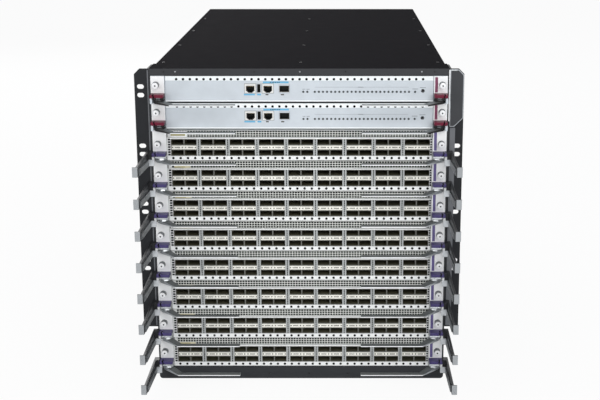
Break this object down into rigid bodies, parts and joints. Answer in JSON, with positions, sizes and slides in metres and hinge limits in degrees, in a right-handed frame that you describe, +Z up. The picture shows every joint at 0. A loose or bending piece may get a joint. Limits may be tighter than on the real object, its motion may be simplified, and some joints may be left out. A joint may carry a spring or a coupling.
{
  "type": "modular chassis switch",
  "caption": "Rack-mount chassis with plug-in control and line cards, ejector levers, cable arms, power units and fan trays.",
  "frame": {"origin": "middle of the chassis's footprint, handles and cable arms included, on the surface it stands on", "axes": "+X to the right of someone facing the cards, +Y from the cards to the rear, +Z up"},
  "size_m": [0.4826, 0.964, 0.486],
  "materials": {
    "frame_paint": "matte",
    "shell_paint": "satin",
    "cover_paint": "satin",
    "ear_paint": "satin",
    "plate_plastic": "matte",
    "board_laminate": "matte",
    "module_metal": "satin",
    "control_paint": "satin",
    "line_paint": "satin",
    "cage_metal": "satin",
    "lever_metal": "satin",
    "button_plastic": "matte",
    "latch_maroon": "satin",
    "latch_purple": "satin",
    "knob_metal": "satin",
    "arm_black": "satin",
    "strip_steel": "satin",
    "tray_metal": "satin",
    "fan_black": "matte"
  },
  "bodies": {
    "chassis": {"arm_strips": "strip_steel", "cable_arms": "arm_black", "captive_screws": "knob_metal", "chassis_shell": "shell_paint", "control_1_panel": "control_paint", "control_2_panel": "control_paint", "control_boards": "board_laminate", "control_latches": "latch_maroon", "ear_plate": "plate_plastic", "fabric_modules": "board_laminate", "fan_tray_lower": "tray_metal", "fan_tray_upper": "tray_metal", "front_frame": "frame_paint", "line_1_board": "cage_metal", "line_1_panel": "line_paint", "line_2_board": "cage_metal", "line_2_panel": "line_paint", "line_3_board": "cage_metal", "line_3_panel": "line_paint", "line_4_board": "cage_metal", "line_4_panel": "line_paint", "line_5_board": "cage_metal", "line_5_panel": "line_paint", "line_6_board": "cage_metal", "line_6_panel": "line_paint", "line_7_board": "cage_metal", "line_7_panel": "line_paint", "line_8_board": "cage_metal", "line_8_panel": "line_paint", "line_latches": "latch_purple", "midplane": "board_laminate", "power_supplies": "module_metal", "rack_ears": "ear_paint", "top_cover": "cover_paint"},
    "control_1_lever_left": {"control_1_lever_left": "lever_metal"},
    "control_1_lever_right": {"control_1_lever_right": "lever_metal"},
    "control_2_lever_left": {"control_2_lever_left": "lever_metal"},
    "control_2_lever_right": {"control_2_lever_right": "lever_metal"},
    "line_1_lever_left": {"line_1_lever_left": "lever_metal"},
    "line_1_lever_right": {"line_1_lever_right": "lever_metal"},
    "line_2_lever_left": {"line_2_lever_left": "lever_metal"},
    "line_2_lever_right": {"line_2_lever_right": "lever_metal"},
    "line_3_lever_left": {"line_3_lever_left": "lever_metal"},
    "line_3_lever_right": {"line_3_lever_right": "lever_metal"},
    "line_4_lever_left": {"line_4_lever_left": "lever_metal"},
    "line_4_lever_right": {"line_4_lever_right": "lever_metal"},
    "line_5_lever_left": {"line_5_lever_left": "lever_metal"},
    "line_5_lever_right": {"line_5_lever_right": "lever_metal"},
    "line_6_lever_left": {"line_6_lever_left": "lever_metal"},
    "line_6_lever_right": {"line_6_lever_right": "lever_metal"},
    "line_7_lever_left": {"line_7_lever_left": "lever_metal"},
    "line_7_lever_right": {"line_7_lever_right": "lever_metal"},
    "line_8_lever_left": {"line_8_lever_left": "lever_metal"},
    "line_8_lever_right": {"line_8_lever_right": "lever_metal"},
    "control_1_reset": {"control_1_reset": "button_plastic"},
    "control_2_reset": {"control_2_reset": "button_plastic"},
    "fan_lower_left": {"fan_lower_left": "fan_black"},
    "fan_lower_right": {"fan_lower_right": "fan_black"},
    "fan_upper_left": {"fan_upper_left": "fan_black"},
    "fan_upper_right": {"fan_upper_right": "fan_black"}
  },
  "joints": [
    {"name": "control_1_lever_swing_left", "type": "hinge", "parent": "chassis", "child": "control_1_lever_left", "pos_m": [-0.2045, -0.3845, 0.43925], "axis": [0, 0, -1], "range_deg": [0, 45]},
    {"name": "control_1_lever_swing_right", "type": "hinge", "parent": "chassis", "child": "control_1_lever_right", "pos_m": [0.2045, -0.3845, 0.43925], "axis": [0, 0, 1], "range_deg": [0, 45]},
    {"name": "control_2_lever_swing_left", "type": "hinge", "parent": "chassis", "child": "control_2_lever_left", "pos_m": [-0.2045, -0.3845, 0.39875], "axis": [0, 0, -1], "range_deg": [0, 45]},
    {"name": "control_2_lever_swing_right", "type": "hinge", "parent": "chassis", "child": "control_2_lever_right", "pos_m": [0.2045, -0.3845, 0.39875], "axis": [0, 0, 1], "range_deg": [0, 45]},
    {"name": "line_1_lever_swing_left", "type": "hinge", "parent": "chassis", "child": "line_1_lever_left", "pos_m": [-0.2045, -0.3845, 0.35195], "axis": [0, 0, -1], "range_deg": [0, 45]},
    {"name": "line_1_lever_swing_right", "type": "hinge", "parent": "chassis", "child": "line_1_lever_right", "pos_m": [0.2045, -0.3845, 0.35195], "axis": [0, 0, 1], "range_deg": [0, 45]},
    {"name": "line_2_lever_swing_left", "type": "hinge", "parent": "chassis", "child": "line_2_lever_left", "pos_m": [-0.2045, -0.3845, 0.30515], "axis": [0, 0, -1], "range_deg": [0, 45]},
    {"name": "line_2_lever_swing_right", "type": "hinge", "parent": "chassis", "child": "line_2_lever_right", "pos_m": [0.2045, -0.3845, 0.30515], "axis": [0, 0, 1], "range_deg": [0, 45]},
    {"name": "line_3_lever_swing_left", "type": "hinge", "parent": "chassis", "child": "line_3_lever_left", "pos_m": [-0.2045, -0.3845, 0.25835], "axis": [0, 0, -1], "range_deg": [0, 45]},
    {"name": "line_3_lever_swing_right", "type": "hinge", "parent": "chassis", "child": "line_3_lever_right", "pos_m": [0.2045, -0.3845, 0.25835], "axis": [0, 0, 1], "range_deg": [0, 45]},
    {"name": "line_4_lever_swing_left", "type": "hinge", "parent": "chassis", "child": "line_4_lever_left", "pos_m": [-0.2045, -0.3845, 0.21155], "axis": [0, 0, -1], "range_deg": [0, 45]},
    {"name": "line_4_lever_swing_right", "type": "hinge", "parent": "chassis", "child": "line_4_lever_right", "pos_m": [0.2045, -0.3845, 0.21155], "axis": [0, 0, 1], "range_deg": [0, 45]},
    {"name": "line_5_lever_swing_left", "type": "hinge", "parent": "chassis", "child": "line_5_lever_left", "pos_m": [-0.2045, -0.3845, 0.16475], "axis": [0, 0, -1], "range_deg": [0, 45]},
    {"name": "line_5_lever_swing_right", "type": "hinge", "parent": "chassis", "child": "line_5_lever_right", "pos_m": [0.2045, -0.3845, 0.16475], "axis": [0, 0, 1], "range_deg": [0, 45]},
    {"name": "line_6_lever_swing_left", "type": "hinge", "parent": "chassis", "child": "line_6_lever_left", "pos_m": [-0.2045, -0.3845, 0.11795], "axis": [0, 0, -1], "range_deg": [0, 45]},
    {"name": "line_6_lever_swing_right", "type": "hinge", "parent": "chassis", "child": "line_6_lever_right", "pos_m": [0.2045, -0.3845, 0.11795], "axis": [0, 0, 1], "range_deg": [0, 45]},
    {"name": "line_7_lever_swing_left", "type": "hinge", "parent": "chassis", "child": "line_7_lever_left", "pos_m": [-0.2045, -0.3845, 0.07115], "axis": [0, 0, -1], "range_deg": [0, 45]},
    {"name": "line_7_lever_swing_right", "type": "hinge", "parent": "chassis", "child": "line_7_lever_right", "pos_m": [0.2045, -0.3845, 0.07115], "axis": [0, 0, 1], "range_deg": [0, 45]},
    {"name": "line_8_lever_swing_left", "type": "hinge", "parent": "chassis", "child": "line_8_lever_left", "pos_m": [-0.2045, -0.3845, 0.02435], "axis": [0, 0, -1], "range_deg": [0, 45]},
    {"name": "line_8_lever_swing_right", "type": "hinge", "parent": "chassis", "child": "line_8_lever_right", "pos_m": [0.2045, -0.3845, 0.02435], "axis": [0, 0, 1], "range_deg": [0, 45]},
    {"name": "control_1_reset_press", "type": "slide", "parent": "chassis", "child": "control_1_reset", "axis": [0, 1, 0], "range_m": [0, 0.0015], "stiffness_N_per_m": 400, "springref_m": -0.001},
    {"name": "control_2_reset_press", "type": "slide", "parent": "chassis", "child": "control_2_reset", "axis": [0, 1, 0], "range_m": [0, 0.0015], "stiffness_N_per_m": 400, "springref_m": -0.001},
    {"name": "fan_lower_left_spin", "type": "hinge", "parent": "chassis", "child": "fan_lower_left", "pos_m": [-0.102, 0.414, 0.1956], "axis": [0, 1, 0], "continuous": true},
    {"name": "fan_lower_right_spin", "type": "hinge", "parent": "chassis", "child": "fan_lower_right", "pos_m": [0.102, 0.414, 0.1956], "axis": [0, 1, 0], "continuous": true},
    {"name": "fan_upper_left_spin", "type": "hinge", "parent": "chassis", "child": "fan_upper_left", "pos_m": [-0.102, 0.414, 0.3872], "axis": [0, 1, 0], "continuous": true},
    {"name": "fan_upper_right_spin", "type": "hinge", "parent": "chassis", "child": "fan_upper_right", "pos_m": [0.102, 0.414, 0.3872], "axis": [0, 1, 0], "continuous": true}
  ]
}
